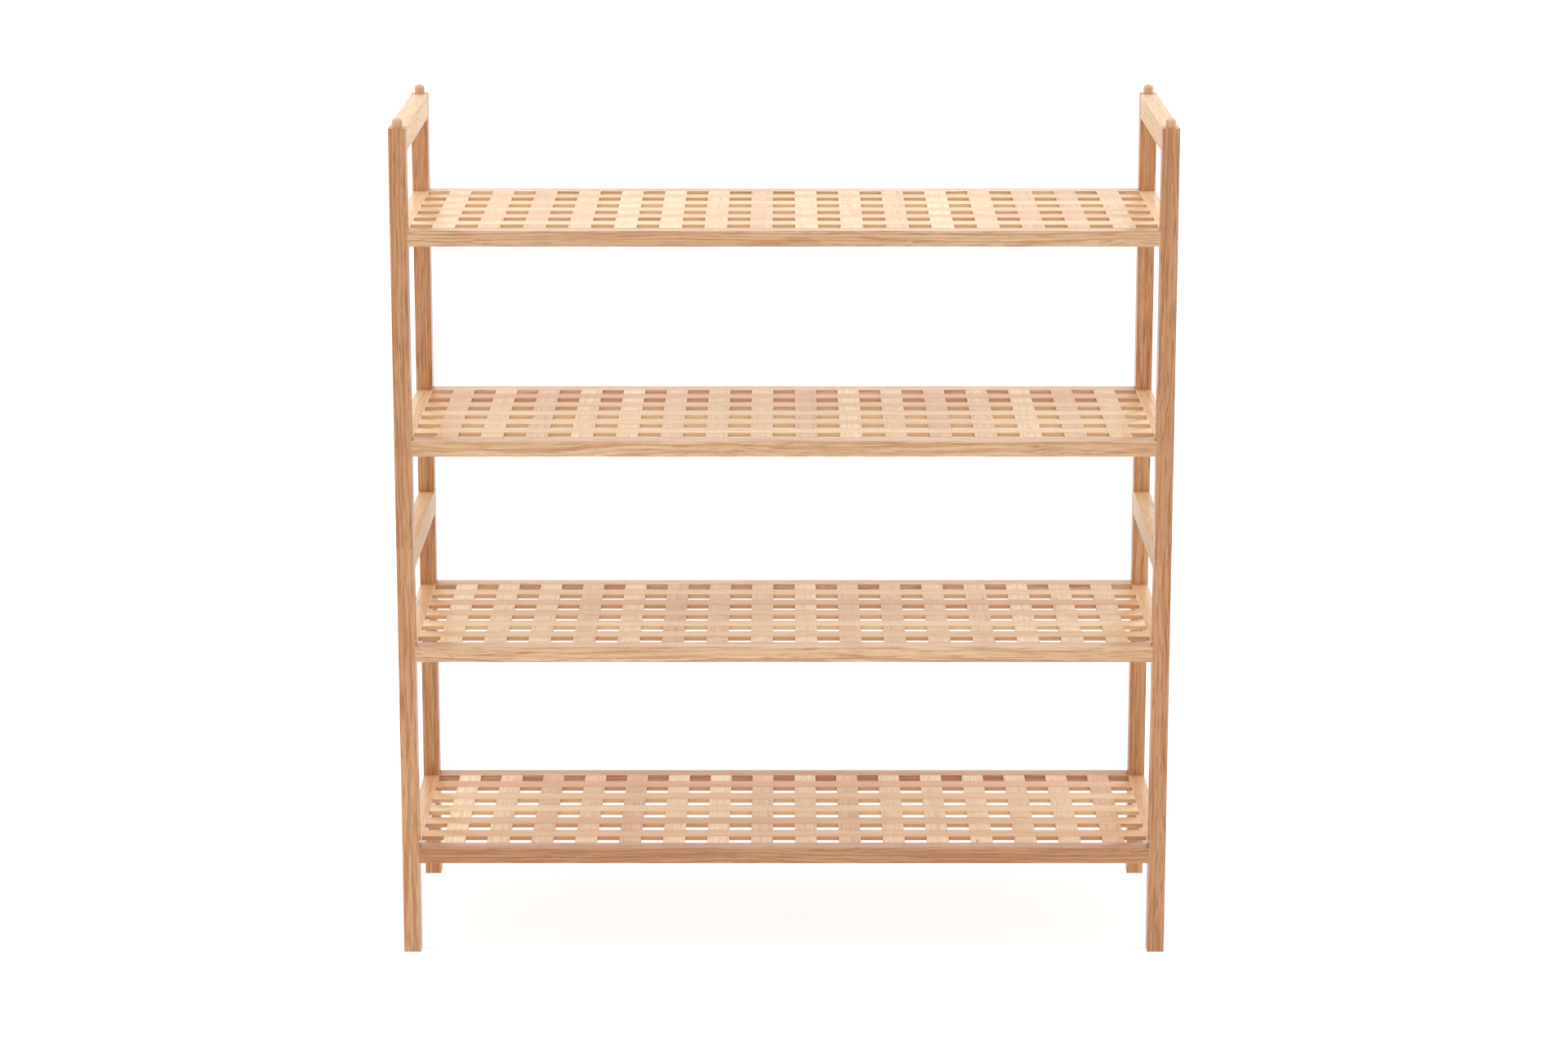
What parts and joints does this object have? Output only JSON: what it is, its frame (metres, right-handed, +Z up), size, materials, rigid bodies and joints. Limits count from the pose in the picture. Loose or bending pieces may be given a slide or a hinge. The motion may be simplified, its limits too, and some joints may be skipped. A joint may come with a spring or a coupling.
{
  "type": "tiered shoe rack",
  "caption": "Wooden shoe rack of stacked units with lattice shelves, square legs, side top rails and domed stacking pegs.",
  "frame": {"origin": "middle of the footprint, on the floor under the feet", "axes": "+X to the rack's right as seen from the front, +Y to its back, +Z up"},
  "size_m": [0.69, 0.256, 0.7605],
  "materials": {
    "leg": "satin clear lacquer, grain along the leg",
    "top_rail": "satin clear lacquer, grain along the rail",
    "peg": "turned dowel, satin",
    "shelf_rail": "satin clear lacquer, grain along the rail",
    "long_slat": "satin clear lacquer, planed slats of varied tone",
    "cross_slat": "satin clear lacquer, planed slats of varied tone",
    "dowel": "plain wooden dowel",
    "bolt": "zinc plated",
    "insert": "plain"
  },
  "bodies": {
    "lower_unit": {"lower_leg_front_left": "leg", "lower_leg_front_right": "leg", "lower_leg_back_left": "leg", "lower_leg_back_right": "leg", "lower_top_rail_left": "top_rail", "lower_top_rail_right": "top_rail", "lower_peg_front_left": "peg", "lower_peg_front_right": "peg", "lower_peg_back_left": "peg", "lower_peg_back_right": "peg", "lower_frame_dowels": "dowel", "lower_shelf_bolts": "bolt", "lower_threaded_inserts": "insert", "shelf_1_front_rail": "shelf_rail", "shelf_1_back_rail": "shelf_rail", "shelf_1_side_rail_left": "shelf_rail", "shelf_1_side_rail_right": "shelf_rail", "shelf_1_long_slats": "long_slat", "shelf_1_cross_slats": "cross_slat", "shelf_2_front_rail": "shelf_rail", "shelf_2_back_rail": "shelf_rail", "shelf_2_side_rail_left": "shelf_rail", "shelf_2_side_rail_right": "shelf_rail", "shelf_2_long_slats": "long_slat", "shelf_2_cross_slats": "cross_slat"},
    "upper_unit": {"upper_leg_front_left": "leg", "upper_leg_front_right": "leg", "upper_leg_back_left": "leg", "upper_leg_back_right": "leg", "upper_top_rail_left": "top_rail", "upper_top_rail_right": "top_rail", "upper_peg_front_left": "peg", "upper_peg_front_right": "peg", "upper_peg_back_left": "peg", "upper_peg_back_right": "peg", "upper_frame_dowels": "dowel", "upper_shelf_bolts": "bolt", "upper_threaded_inserts": "insert", "shelf_3_front_rail": "shelf_rail", "shelf_3_back_rail": "shelf_rail", "shelf_3_side_rail_left": "shelf_rail", "shelf_3_side_rail_right": "shelf_rail", "shelf_3_long_slats": "long_slat", "shelf_3_cross_slats": "cross_slat", "shelf_4_front_rail": "shelf_rail", "shelf_4_back_rail": "shelf_rail", "shelf_4_side_rail_left": "shelf_rail", "shelf_4_side_rail_right": "shelf_rail", "shelf_4_long_slats": "long_slat", "shelf_4_cross_slats": "cross_slat"}
  },
  "joints": [
    {"name": "upper_unit_lift", "type": "slide", "parent": "lower_unit", "child": "upper_unit", "axis": [0, 0, 1], "range_m": [0, 0.06]}
  ]
}
